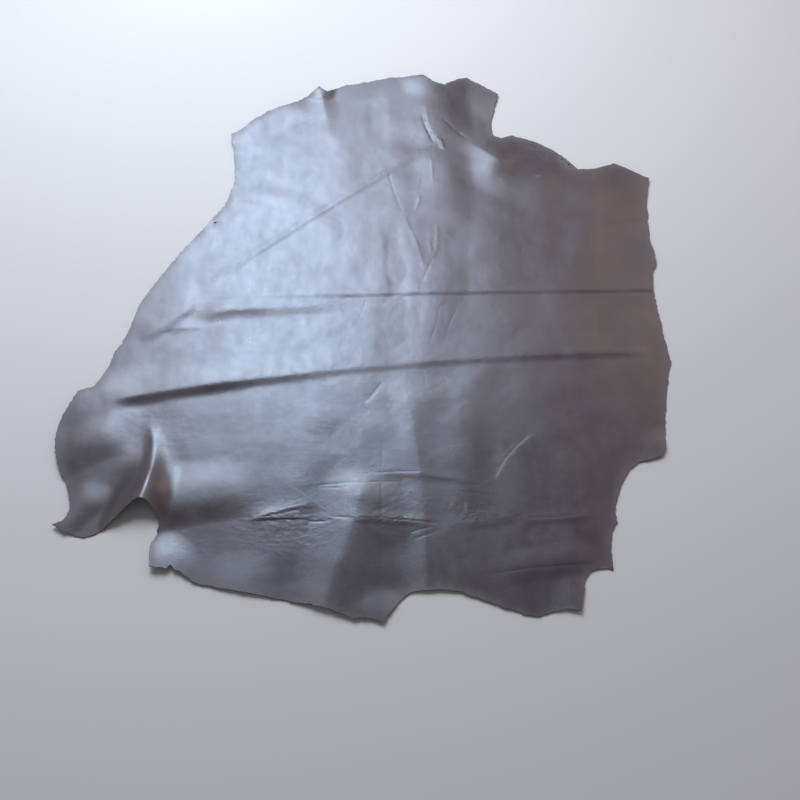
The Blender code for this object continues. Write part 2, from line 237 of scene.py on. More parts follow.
# Fine lines in the grain: narrow grooves, along which painted shade darkens the colour, in rows like those
# of the folds. Here the two rises say how strong the line is, from 0 to 1.
LINES = (
    Fold("left wrinkle's tail", SHARP, -92, -344, -48, -343, -5, 1.0, 0.5, 3.0, 2.4, 6, 14),
    Fold("left wrinkle, upper", SHARP, -152, -343, -90, -328, 0, 0.7, 0.4, 2.6, 2.6, 16, 20),
    Fold("left wrinkle, lower", SHARP, -164, -348, -88, -345, 1, 0.9, 0.8, 2.8, 2.4, 20, 8),
    Fold("back wrinkle, first", SHARP, -82, -296, 40, -290, 1, 0.55, 0.4, 2.4, 2.4, 12, 20),
    Fold("back wrinkle, second", SHARP, -84, -297, -26, -298, -2, 0.45, 0.3, 2.4, 2.4, 12, 16),
    Fold("back wrinkle, third", SHARP, -4, -278, 74, -276, 2, 0.55, 0.4, 2.4, 2.4, 10, 20),
    Fold("middle wrinkle", SHARP, -24, -345, 90, -352, 3, 1.0, 0.8, 3.0, 2.6, 14, 14),
    Fold("middle wrinkle's start", SHARP, -60, -340, -20, -346, 0, 0.5, 0.7, 2.4, 2.4, 14, 8),
    Fold("fan wrinkle, upper", SHARP, 46, -365, 80, -355, 0, 0.5, 0.4, 2.6, 2.4, 10, 8),
    Fold("fan wrinkle, lower", SHARP, 52, -374, 88, -361, 0, 0.4, 0.4, 2.6, 2.4, 10, 8),
    Fold("upright line", SHARP, 11, -214, 11, -368, 0, 0.32, 0.32, 2.2, 2.2, 16, 16),
    Fold("right wrinkle, first dip", SHARP, 106, -304, 178, -312, 0, 0.4, 0.3, 5, 4, 20, 20),
    Fold("right wrinkle, step", SHARP, 98, -358, 200, -338, -2, 0.5, 0.3, 4, 3, 30, 14),
    Fold("right wrinkle, line", SHARP, 202, -343, 290, -334, -3, 0.45, 0.3, 3, 2.4, 10, 30),
    Fold("right shank line", SHARP, 130, -426, 290, -407, 4, 0.5, 0.8, 4, 3, 60, 16),
    Fold("diagonal line", SHARP, -250, 44, 88, 322, 4, 1.0, 0.85, 2.8, 2.8, 16, 30),
    Fold("upper line, first", SHARP, -14, 16, -35, -40, 3, 0.4, 0.2, 2.6, 3, 10, 20),
    Fold("upper line, second", SHARP, 17, -10, 46, -66, 2, 0.4, 0.3, 2.6, 2.6, 18, 12),
    Fold("upper line, third", SHARP, 46, -64, 52, -92, 0, 0.3, 0.2, 2.6, 3, 8, 10),
    Fold("upper line, fourth", SHARP, 97, 4, 71, -86, 3, 0.25, 0.25, 2.4, 2.4, 16, 18),
    Fold("upper line, fifth", SHARP, 126, 2, 100, -58, -2, 0.35, 0.2, 3, 3, 14, 18),
    Fold("lower line, first", SHARP, 12, -128, -17, -170, 3, 0.5, 0.4, 3, 3, 14, 10),
    Fold("lower line, second", SHARP, -17, -168, -6, -189, 0, 0.4, 0.3, 3, 3, 6, 10),
    Fold("lower line, third", SHARP, 66, -100, 72, -150, 2, 0.2, 0.2, 2.4, 2.4, 10, 6),
    Fold("lower line, fourth", SHARP, 71, -149, 98, -136, -2, 0.2, 0.2, 2.4, 2.4, 6, 12),
    Fold("left stroke", SHARP, -310, -46, -256, -42, 1, 0.4, 0.3, 4, 3, 14, 20),
    Fold("backbone line", SHARP, 12, 298, 42, 174, -3, 0.45, 0.35, 3, 3, 40, 16),
    Fold("backbone fork", SHARP, 87, 91, 66, 34, 0, 0.5, 0.3, 3.4, 3, 8, 24),
    Fold("neck line, left", SHARP, 70, 402, 95, 330, -3, 0.5, 1.0, 4, 3, 24, 8),
    Fold("neck line, upper", SHARP, 104, 386, 150, 336, 0, 0.8, 0.8, 4, 4, 10, 18),
    Fold("neck line, lower", SHARP, 92, 345, 101, 318, 2, 0.7, 0.5, 3, 2.6, 8, 10),
    Fold("short wedge", SHARP, 74, 268, 65, 198, 0, 0.3, 0.2, 4, 4, 20, 20),
    Fold("neck stroke, left", SHARP, -126, 368, -133, 346, 0, 0.7, 0.5, 3, 3, 6, 8),
)

# How deep a line of strength 1 is.
LINE_DEPTH = 0.27

# Light rubbed marks in the finish, in rows like those of the lines.
SCUFFS = (
    Fold("scuff", ROUND, 228, -212, 163, -291, -8, 0.8, 0.7, 1.5, 1.5, 24, 16),
    Fold("scuff, second stroke", ROUND, 206, -224, 170, -266, -5, 0.2, 0.15, 2.6, 2.6, 20, 20),
    Fold("light line, left", ROUND, -121, -292, -60, -333, 2, 0.28, 0.2, 1.8, 1.8, 20, 12),
    Fold("light tick", ROUND, 37, -313, 53, -301, 0, 0.5, 0.35, 1.8, 1.8, 5, 5),
    Fold("light upright tick", ROUND, 123, -320, 124, -339, 0, 0.5, 0.3, 1.6, 1.6, 5, 5),
    Fold("neck cross, first", ROUND, -119, 392, -104, 376, 0, 0.5, 0.5, 1.5, 1.5, 4, 4),
    Fold("neck cross, second", ROUND, -104, 394, -118, 372, 0, 0.4, 0.4, 1.5, 1.5, 4, 4),
    Fold("shoulder tick", ROUND, 252, 257, 268, 256, 0, 0.35, 0.3, 1.8, 1.8, 5, 5),
)

# A patch of loose grain: an oval in which the grain side is drawn up in small ridges along X.
Patch = namedtuple("Patch", "name x y reach_x reach_y depth")
PATCHES = (
    Patch("belly, right", 140, -334, 84, 30, 0.24),
    Patch("belly, middle", 30, -330, 84, 62, 0.22),
    Patch("belly, left", -116, -352, 112, 62, 0.24),
    Patch("left shank", -250, -380, 52, 40, 0.20),
    Patch("left flank", -300, -210, 120, 90, 0.16),
    Patch("neck, middle", 90, 350, 90, 110, 0.22),
    Patch("neck, right", 258, 312, 76, 34, 0.30),
    Patch("backbone", 70, 60, 60, 150, 0.14),
    Patch("whole skin", 0, 0, 620, 620, 0.10),
)
FINE_PATCH_DEPTH = 0.23

# The ridges follow a field of waves about so long and so wide. A ridge is highest where that field is 0,
# and gone where it is RIDGE_FLANK. It bends sideways by so much over a longer stretch.
RIDGE_LONG, RIDGE_SHORT = 28.0, 8.0
RIDGE_SEED = 13
RIDGE_FLANK = 1.4
RIDGE_BEND, RIDGE_BEND_LENGTH = 6.0, 90.0
RIDGE_BEND_SEED = 11

# The skin never lies quite flat. A roll is a field of soft waves about so long each way.
Roll = namedtuple("Roll", "name long_x long_y height seed")
ROLLS = (
    Roll("hang of the skin", 84, 300, 0.26, 3),
    Roll("cockle", 74, 66, 0.10, 5),
    Roll("small cockle", 27, 23, 0.018, 7),
)

# So many waves make such a field, each this much slower or quicker than the field's length says.
WAVES_IN_A_ROLL = 30
SLOWEST_WAVE, QUICKEST_WAVE = 0.6, 1.5

# Round holes from the frame that the skin was dried on, and torn nicks in the edge.
Hole = namedtuple("Hole", "name x y radius")
HOLES = (
    Hole("right shoulder, outer", 313, 282, 1.9),
    Hole("right shoulder, inner", 303, 294, 1.3),
    Hole("left flank", -255, 160, 1.7),
)
Nick = namedtuple("Nick", "name x y depth width")
NICKS = (
    Nick("left shank", -259, -415, 4.0, 1.6),
    Nick("left flank, upper", -246, 196, 3.0, 3.0),
    Nick("left flank, middle", -283, 126, 2.2, 2.4),
    Nick("left flank, lower", -372, -66, 2.4, 2.0),
    Nick("right flank", 424, 20, 2.0, 2.4),
    Nick("butt", 92, -449, 1.6, 2.0),
    Nick("neck", -20, 475, 2.2, 2.6),
)

# How finely the sheet is divided, in millimetres. Patches of FINE_PATCH_DEPTH or more get the finer
# grid, and each clearance is how far a layer's points keep from those laid before it.
EDGE_STEP = 2.0
GRAIN_GRID, GRAIN_CLEARANCE = 3.7, 2.1
FLESH_GRID, FLESH_CLEARANCE = 11.0, 5.0
PATCH_GRID, PATCH_CLEARANCE = 2.3, 1.5
CREST_STEP, CREST_CLEARANCE = 2.6, 0.9
FLESH_CREST_STEP, FLESH_CREST_CELL, FLESH_CREST_CLEARANCE = 9.0, 3.0, 2.0
HOLE_SIDES = 14

# Faces with their middles nearer to a hole's middle than this share of its radius fill the hole.
HOLE_FLAT_SHARE = 0.97

# What Blender's triangulation is asked for: the faces inside the edge, and when two points are one.
INSIDE_ONLY = 1
SAME_POINT = 1e-5

# The rows of points beside a crest, as shares of how far they reach from it.
CREST_ROWS = (0.0, 0.3, 0.62, 1.0)
CREST_REACH = 4.0
FLESH_CREST_REACH = 12.0

# The radius that a crest keeps, at most and as a share of the fold's width.
CREST_RADIUS = 2.5
CREST_SHARE = 0.25

# The cut edge wanders by this much about the clean line.
RAGGED_HEIGHT = 0.3
RAGGED_LENGTHS = (31.0, 13.0, 5.5)

# The band along the edge in which the finish is worn, and how suddenly the wear ends.
WORN_BAND = 7.0
WORN_BAND_END = 1.2

# A place on a sharp crest is rubbed by its share of the crest's height to this power, so that only the
# top is, and a crest of this rise or more is rubbed fully.
RUBBED_TOP = 6
FULL_RUB_RISE = 3.0


def smooth(t):
    """0 below 0, 1 above 1, and an even S between."""
    t = np.clip(t, 0, 1)
    return t * t * (3 - 2 * t)


def falloff(shape, distance):
    return (1 - np.clip(distance, 0, 1) ** shape.near) ** shape.far


def fold_rise(fold, x, y):
    """How high the fold lifts the flesh side at each place."""
    dx, dy = fold.x1 - fold.x0, fold.y1 - fold.y0
    length = math.hypot(dx, dy)
    along = ((x - fold.x0) * dx + (y - fold.y0) * dy) / length
    aside = ((y - fold.y0) * dx - (x - fold.x0) * dy) / length
    share = np.clip(along / length, 0, 1)
    aside = aside - 4 * share * (1 - share) * fold.bow
    width = np.where(aside > 0, fold.left, fold.right)
    past_end = np.maximum(0, np.maximum(-along, along - length))
    crest = np.minimum(CREST_RADIUS, CREST_SHARE * width)
    distance = np.sqrt(aside ** 2 + past_end ** 2 + crest ** 2) - crest
    rise = fold.rise0 + (fold.rise1 - fold.rise0) * share
    if fold.fade0:
        rise = rise * smooth(along / fold.fade0)
    if fold.fade1:
        rise = rise * smooth((length - along) / fold.fade1)
    return rise * falloff(fold.shape, distance / width)


def strongest(rows, x, y):
    """The highest of the rows' rises at each place."""
    return np.max([fold_rise(row, x, y) for row in rows], axis=0)


def swell_rise(swell, x, y):
    distance = np.hypot(x - swell.x, y - swell.y)
    return swell.rise * falloff(ROUND, distance / swell.radius)


def waves(x, y, long_x, long_y, seed):
    """A random field of soft waves, about 1 high either way."""
    random = np.random.default_rng(seed)
    total = 0
    for _ in range(WAVES_IN_A_ROLL):
        turn, start = random.uniform(0, 2 * math.pi, 2)
        pace = 2 * math.pi * random.uniform(SLOWEST_WAVE, QUICKEST_WAVE)
        total = total + np.sin(pace * (math.cos(turn) * x / long_x + math.sin(turn) * y / long_y) + start)
    return total * math.sqrt(2 / WAVES_IN_A_ROLL)


def flesh_height(x, y):
    """How far the flesh side is above the plane it lies on."""
    folds = sum(fold_rise(fold, x, y) for fold in FOLDS + WRINKLES)
    grooves = LINE_DEPTH * strongest(LINES, x, y)
    swells = sum(swell_rise(swell, x, y) for swell in SWELLS)
    rolls = sum(roll.height * (1 + waves(x, y, roll.long_x, roll.long_y, roll.seed)) for roll in ROLLS)
    return np.maximum(0, folds + swells + rolls - grooves)


def looseness(x, y):
    """How deep the ridges of loose grain are at each place."""
    depth = 0
    for patch in PATCHES:
        distance = np.hypot((x - patch.x) / patch.reach_x, (y - patch.y) / patch.reach_y)
        depth = np.maximum(depth, patch.depth * falloff(ROUND, distance))
    return depth


def loose_grain(x, y):
    """The small ridges of the patches of loose grain."""
    bend = RIDGE_BEND * waves(x, y, RIDGE_BEND_LENGTH, RIDGE_BEND_LENGTH, RIDGE_BEND_SEED)
    ridges = 1 - np.abs(waves(x, y + bend, RIDGE_LONG, RIDGE_SHORT, RIDGE_SEED)) / RIDGE_FLANK
    return looseness(x, y) * np.clip(ridges, 0, 1) ** 2


# ---------------------------------------------------------------------------------------------------
# The edge and the points of the sheet.


def cut_points(start, cut):
    """The points of one cut, from just after its start up to its end."""
    dx, dy = cut.x - start.x, cut.y - start.y
    length = math.hypot(dx, dy)
    pieces = max(1, round(length / EDGE_STEP))
    points = []
    for piece in range(1, pieces + 1):
        t = piece / pieces
        out = 4 * t * (1 - t) * cut.bow / length
        points.append((start.x + dx * t + dy * out, start.y + dy * t - dx * out))
    return points


def outward(ring):
    """The sideways direction out of the sheet at each point of a ring."""
    along = np.roll(ring, -1, axis=0) - np.roll(ring, 1, axis=0)
    along /= np.hypot(*along.T)[:, None]
    return np.column_stack([along[:, 1], -along[:, 0]])


def edge_ring():
    """The whole cut edge as a closed ring of points, anticlockwise, ragged and nicked."""
    ring = []
    start = EDGE[-1]
    for cut in EDGE:
        ring.extend(cut_points(start, cut))
        start = cut
    ring = np.array(ring)
    x, y = ring.T
    offset = 0
    for seed, length in enumerate(RAGGED_LENGTHS):
        offset = offset + RAGGED_HEIGHT * waves(x, y, length, length, seed)
    for nick in NICKS:
        distance = np.hypot(x - nick.x, y - nick.y)
        offset = offset - nick.depth * falloff(ROUND, distance / (nick.width + EDGE_STEP))
    return ring + outward(ring) * offset[:, None]


def hole_ring(hole):
    """The edge of a hole, clockwise, so that the sheet lies on its left as it does on the outer edge's."""
    turns = -2 * math.pi * np.arange(HOLE_SIDES) / HOLE_SIDES
    return np.column_stack([hole.x + hole.radius * np.cos(turns), hole.y + hole.radius * np.sin(turns)])


def is_inside(points, ring):
    """Which points lie inside the ring, by counting the sides that a ray towards +X crosses."""
    inside = np.zeros(len(points), bool)
    x, y = points[:, 0], points[:, 1]
    for (ax, ay), (bx, by) in zip(ring, np.roll(ring, -1, axis=0)):
        if ay == by:
            continue
        crosses = (ay > y) != (by > y)
        inside ^= crosses & (x < ax + (y - ay) * (bx - ax) / (by - ay))
    return inside


def nearest(points, others):
    """How far each point is from the nearest of the others."""
    tree = KDTree(len(others))
    for index, (x, y) in enumerate(others):
        tree.insert((x, y, 0), index)
    tree.balance()
    return np.array([tree.find((x, y, 0))[2] for x, y in points])


def crest_points(folds, step, reach):
    """Rows of points along each crest, so that the faces follow it."""
    points = []
    for fold in folds:
        dx, dy = fold.x1 - fold.x0, fold.y1 - fold.y0
        length = math.hypot(dx, dy)
        pieces = max(2, round(length / step))
        sides = [min(fold.left, reach) * row for row in CREST_ROWS]
        sides += [-min(fold.right, reach) * row for row in CREST_ROWS[1:]]
        for side in sorted(sides, key=abs):
            for piece in range(pieces + 1):
                t = piece / pieces
                aside = (4 * t * (1 - t) * fold.bow + side) / length
                points.append((fold.x0 + dx * t - dy * aside, fold.y0 + dy * t + dx * aside))
    return np.array(points)


def grid_points(low, high, step):
    """An even triangular grid over a box."""
    row_step = step * math.sqrt(3) / 2
    rows = []
    for row, y in enumerate(np.arange(low[1], high[1], row_step)):
        x = np.arange(low[0] + step / 2 * (row % 2), high[0], step)
        rows.append(np.column_stack([x, np.full(len(x), y)]))
    return np.vstack(rows)


def thinned(points, least):
    """The points in their order, without any that shares a cell of this width with one before it."""
    taken = set()
    kept = []
    for x, y in points:
        column, row = math.floor(x / least), math.floor(y / least)
        if (column, row) in taken:
            continue
        taken.add((column, row))
        kept.append((x, y))
    return np.array(kept)


def patch_points():
    """Finer grids over the patches with the deepest ridges."""
    grids = []
    for patch in PATCHES:
        if patch.depth < FINE_PATCH_DEPTH:
            continue
        reach = np.array([patch.reach_x, patch.reach_y])
        middle = np.array([patch.x, patch.y])
        grid = grid_points(middle - reach, middle + reach, PATCH_GRID)
        grids.append(grid[np.hypot(*((grid - middle) / reach).T) < 1])
    return np.vstack(grids)


def inner_points(rings, layers):
    """The sheet's inner points: each layer of (points, clearance) keeps clear of those before it."""
    around = np.vstack(rings)
    kept = np.empty((0, 2))
    for points, clearance in layers:
        points = points[is_inside(points, rings[0])]
        for hole in HOLES:
            points = points[np.hypot(*(points - (hole.x, hole.y)).T) > hole.radius]
        points = points[nearest(points, around) > clearance]
        if len(kept):
            points = points[nearest(points, kept) > clearance]
        kept = np.vstack([kept, points])
    return kept


def divided(rings, inner):
    """The sheet as triangles: its points, the rings' first and in their order, and its faces."""
    points = [Vector(point) for point in np.vstack([*rings, inner])]
    edges = []
    first = len(rings[0])
    for ring in rings[1:]:
        edges += [(first + i, first + (i + 1) % len(ring)) for i in range(len(ring))]
        first += len(ring)
    outline = [list(range(len(rings[0])))]
    places, _, faces, _, _, _ = delaunay_2d_cdt(points, edges, outline, INSIDE_ONLY, SAME_POINT)
    if len(places) != len(points):
        raise ValueError("the edge crosses itself, or two points of the sheet coincide")
    places, faces = np.array(places), np.array(faces)
    middles = places[faces].mean(axis=1)
    for hole in HOLES:
        away = np.hypot(*(middles - (hole.x, hole.y)).T) > HOLE_FLAT_SHARE * hole.radius
        middles, faces = middles[away], faces[away]
    return places, faces


def up_directions(places, faces):
    """The direction out of the sheet's upper side at each point."""
    a, b, c = (places[faces[:, corner]] for corner in range(3))
    normals = np.cross(b - a, c - a)
    directions = np.zeros_like(places)
    for corner in range(3):
        np.add.at(directions, faces[:, corner], normals)
    return directions / np.linalg.norm(directions, axis=1)[:, None]


# ---------------------------------------------------------------------------------------------------
# The sheet as one closed mesh.

# The rows of the cut edge from the grain side down: share of the thickness, how far out, how ragged.
RimRow = namedtuple("RimRow", "height out ragged")
RIM_ROWS = (RimRow(0.80, 0.0, 0.03), RimRow(0.42, 0.12, 0.16))

# How far out the two sides of the sheet end. Below zero they stop short of the knife's line.
GRAIN_OUT = -0.28
FLESH_OUT = -0.10

# Faces that meet at more than this are shaded as a corner, such as the two rims of the cut edge.
SHARP_ANGLE = math.radians(36)


def raised(places):
    return np.column_stack([places, flesh_height(*places.T)])


def rim_quads(upper, lower, rings):
    """Faces between two rows of the edge. upper and lower are the numbers of their first points."""
    quads = []
    for ring in rings:
        count = len(ring)
        for i in range(count):
            j = (i + 1) % count
            quads.append((upper + i, lower + i, lower + j, upper + j))
        upper += count
        lower += count
    return quads


def sheet_parts():
    """The closed sheet's points, its faces in a list for each material, and its edge's and holes' rings."""
    rings = [edge_ring()] + [hole_ring(hole) for hole in HOLES]
    low, high = rings[0].min(axis=0), rings[0].max(axis=0)
    sharp = [fold for fold in FOLDS + WRINKLES if fold.shape is not ROUND]
    sharp += LINES + SCUFFS
    on_crests = thinned(crest_points(sharp, CREST_STEP, CREST_REACH), CREST_CLEARANCE)
    grain_layers = (
        (on_crests, CREST_CLEARANCE),
        (patch_points(), PATCH_CLEARANCE),
        (grid_points(low, high, GRAIN_GRID), GRAIN_CLEARANCE),
    )
    under_crests = crest_points(FOLDS, FLESH_CREST_STEP, FLESH_CREST_REACH)
    flesh_layers = (
        (thinned(under_crests, FLESH_CREST_CELL), FLESH_CREST_CLEARANCE),
        (grid_points(low, high, FLESH_GRID), FLESH_CLEARANCE),
    )
    top, top_faces = divided(rings, inner_points(rings, grain_layers))
    bottom, bottom_faces = divided(rings, inner_points(rings, flesh_layers))

    # The grain side is the flesh side moved out by the thickness, with its own relief.
    top = raised(top)
    up = up_directions(top, top_faces)
    relief = THICKNESS + loose_grain(top[:, 0], top[:, 1])
    on_rim = sum(len(ring) for ring in rings)
    rim_base, rim_up = top[:on_rim].copy(), up[:on_rim]
    top = top + up * relief[:, None]
    out = np.vstack([outward(ring) for ring in rings])
    out = np.column_stack([out, np.zeros(on_rim)])
    top[:on_rim] += out * GRAIN_OUT

    rows = []
    for seed, row in enumerate(RIM_ROWS):
        fray = np.random.default_rng(seed).normal(0, row.ragged, on_rim)
        rows.append(rim_base + rim_up * THICKNESS * row.height + out * (row.out + fray)[:, None])
    bottom = raised(bottom)
    bottom[:on_rim] += out * FLESH_OUT

    first = np.cumsum([0, len(top)] + [on_rim] * len(rows))
    grain_faces = top_faces.tolist() + rim_quads(first[0], first[1], rings)
    edge_faces = rim_quads(first[1], first[2], rings) + rim_quads(first[2], first[3], rings)
    flesh_faces = (bottom_faces[:, ::-1] + first[3]).tolist()
    points = np.vstack([top, *rows, bottom])
    return points, (grain_faces, edge_faces, flesh_faces), rings


def edge_wear(points, rings):
    """1 at the cut edge, falling to about a third a band's width away and to 0 further in."""
    distance = nearest(points[:, :2], np.vstack(rings))
    return np.exp(-(distance / WORN_BAND) ** WORN_BAND_END)


def crest_wear(points):
    """How far a place lies up on the folds that stand proud, where the finish is rubbed."""
    x, y = points[:, 0], points[:, 1]
    high = 0
    for fold in FOLDS + WRINKLES:
        peak = max(fold.rise0, fold.rise1)
        if fold.shape is SHARP and peak > 0:
            rub = np.clip(fold_rise(fold, x, y) / peak, 0, 1) ** RUBBED_TOP
            high = np.maximum(high, rub * min(1, peak / FULL_RUB_RISE))
    return high


def loose_share(points):
    """1 where the grain is loosest."""
    return looseness(points[:, 0], points[:, 1]) / max(patch.depth for patch in PATCHES)


def write_attribute(mesh, name, values):
    attribute = mesh.attributes.new(name, "FLOAT", "POINT")
    attribute.data.foreach_set("value", np.asarray(values, np.float32))


def make_sheet(materials):
    points, face_lists, rings = sheet_parts()
    ring = rings[0]
    middle = (ring.min(axis=0) + ring.max(axis=0)) / 2
    mesh = bpy.data.meshes.new("hide_leather")
    placed = (points - np.array([*middle, 0])) * MM
    mesh.from_pydata(placed.tolist(), [], sum(face_lists, []))
    for material in materials:
        mesh.materials.append(material)
    slots = np.repeat(range(len(face_lists)), [len(faces) for faces in face_lists])
    mesh.polygons.foreach_set("material_index", slots.astype(np.int32))
    write_attribute(mesh, "edge_wear", edge_wear(points, rings))
    write_attribute(mesh, "crest_wear", crest_wear(points))
    write_attribute(mesh, "scuffed", strongest(SCUFFS, points[:, 0], points[:, 1]))
    # Painted shade along the fine lines: how much it darkens the grain's colour.
    write_attribute(mesh, "crease_shade", strongest(LINES, points[:, 0], points[:, 1]))
    write_attribute(mesh, "loose", loose_share(points))
    mesh.shade_smooth()
    mesh.set_sharp_from_angle(angle=SHARP_ANGLE)
    mesh.validate()
    hide = bpy.data.objects.new("hide_leather", mesh)
    bpy.context.scene.collection.objects.link(hide)
    return hide


# ---------------------------------------------------------------------------------------------------
# Materials.

# A noise texture: its features in each metre, its finer layers and their strength, and its distortion.
Noise = namedtuple("Noise", "scale detail roughness distortion", defaults=[0.0])

# A span carries low over to start, high over to end, and the rest evenly between and not beyond.
Span = namedtuple("Span", "low high start end")

# How deep a texture is pressed in, in metres, and how much of that shows.
Relief = namedtuple("Relief", "depth strength")


def add(tree, kind, inputs=None, **settings):
    """A new node. An input is given a value, or another node's output to read."""
    new = tree.nodes.new("ShaderNode" + kind)
    for name, value in settings.items():
        setattr(new, name, value)
    for name, value in (inputs or {}).items():
        if isinstance(value, bpy.types.NodeSocket):
            tree.links.new(value, new.inputs[name])
        else:
            new.inputs[name].default_value = value
    return new


def new_material(name):
    material = bpy.data.materials.new(name)
    material.use_nodes = True
    material.node_tree.nodes.clear()
    return material


def finish_material(tree, surface):
    output = add(tree, "OutputMaterial", {"Surface": surface.outputs["BSDF"]})
    output.target = "ALL"


def noise(tree, place, texture, output="Fac"):
    inputs = {"Vector": place, "Scale": texture.scale, "Detail": texture.detail}
    inputs.update({"Roughness": texture.roughness, "Distortion": texture.distortion})
    return add(tree, "TexNoise", inputs).outputs[output]


def cells(tree, place, scale, feature):
    """How far a place is from its cell's edge, or with F1 from its cell's middle."""
    return add(tree, "TexVoronoi", {"Vector": place, "Scale": scale}, feature=feature).outputs["Distance"]


def ranged(tree, value, span):
    inputs = {"Value": value, "From Min": span.low, "From Max": span.high}
    inputs.update({"To Min": span.start, "To Max": span.end})
    return add(tree, "MapRange", inputs).outputs["Result"]


def math_of(tree, operation, first, second):
    new = add(tree, "Math", operation=operation)
    for socket, value in zip(new.inputs, (first, second)):
        if isinstance(value, bpy.types.NodeSocket):
            tree.links.new(value, socket)
        else:
            socket.default_value = value
    return new.outputs["Value"]


def mixed(tree, share, first, second, blend="MIX"):
    inputs = {"Fac": share, "Color1": first, "Color2": second}
    return add(tree, "MixRGB", inputs, blend_type=blend).outputs["Color"]


def attribute(tree, name):
    return add(tree, "Attribute", attribute_name=name).outputs["Fac"]


def patchy(tree, name, texture, span):
    """An attribute of the sheet, broken up by a texture."""
    return math_of(tree, "MULTIPLY", attribute(tree, name), ranged(tree, texture, span))


def bumped(tree, height, relief, normal=None):
    inputs = {"Height": height, "Distance": relief.depth, "Strength": relief.strength}
    if normal is not None:
        inputs["Normal"] = normal
    return add(tree, "Bump", inputs).outputs["Normal"]


def stretched(tree, place, scale):
    return add(tree, "Mapping", {"Vector": place, "Scale": scale}).outputs["Vector"]


# The pebble's cells are a little over a millimetre wide, the pores' twice that and the veins' about 8 mm.
# The warp shifts them all by up to its reach, in metres, so that they are uneven.
WARP = Noise(420.0, 2.0, 0.5)
WARP_REACH = 0.0012
PEBBLE_SCALE = 820.0
PORE_SCALE = 430.0
VEIN_SCALE = 130.0
VEIN_STRETCH = (0.6, 1.0, 1.0)
PEBBLE_EDGE = Span(0.0, 0.22, 0.0, 1.0)
PORE_MIDDLE = Span(0.10, 0.24, 0.0, 1.0)
VEIN_EDGE = Span(0.0, 0.10, 0.0, 1.0)
VEIN_IN_LOOSE_GRAIN = Span(0.0, 1.0, 0.25, 1.0)

# A stretched texture has a scale of 1, and its stretch says how many features it has each way.
CLOUD = Noise(7.0, 5.0, 0.6)
MOTTLE = Noise(48.0, 5.0, 0.62)
SPECK = Noise(900.0, 2.0, 0.5)
CLUMP = Noise(330.0, 3.0, 0.6)
BRUSH = Noise(1.0, 5.0, 0.6)
BRUSH_STRETCH = (70.0, 26.0, 40.0)

GRAIN_DARK = (0.045, 0.0265, 0.0250, 1)
GRAIN_LIGHT = (0.064, 0.0410, 0.0410, 1)
GRAIN_WORN = (0.115, 0.082, 0.070, 1)
GRAIN_SCUFFED = (0.30, 0.27, 0.26, 1)
# The painted shade along the fine lines.
CREASE_SHADE_COLOUR = (0.016, 0.010, 0.009, 1)
PORE_COLOUR = (0.020, 0.0145, 0.014, 1)

# How much each texture changes the colour.
CLOUD_TINT = Span(0.35, 0.65, 0.0, 1.0)
MOTTLE_TINT = Span(0.4, 0.62, 0.0, 0.35)
SPECK_TINT = Span(0.45, 0.75, 0.0, 0.22)
PORE_TINT = Span(0.0, 1.0, 0.55, 0.0)
CREST_TINT = Span(0.35, 0.6, 0.1, 0.5)
EDGE_TINT = Span(0.3, 0.6, 0.15, 0.75)
SCUFF_TINT = Span(0.3, 0.6, 0.35, 0.95)
# How much painted shade darkens the fine lines at full strength.
CREASE_SHADE_TINT = 0.75

# How rough the finish is in the clouds, and how much the rest adds to that.
CLOUD_ROUGHNESS = Span(0.35, 0.65, 0.30, 0.37)
BRUSH_ROUGHNESS = Span(0.3, 0.7, -0.04, 0.05)
MOTTLE_ROUGHNESS = Span(0.35, 0.65, -0.014, 0.028)
EDGE_ROUGHNESS = Span(0.0, 0.6, 0.0, 0.18)
SCUFF_ROUGHNESS = Span(0.0, 1.0, 0.0, 0.25)

BRUSH_RELIEF = Relief(0.00014, 0.5)
CLUMP_RELIEF = Relief(0.00012, 0.6)
VEIN_RELIEF = Relief(0.00012, 0.5)
PEBBLE_RELIEF = Relief(0.00005, 0.5)
PORE_RELIEF = Relief(0.00006, 0.5)


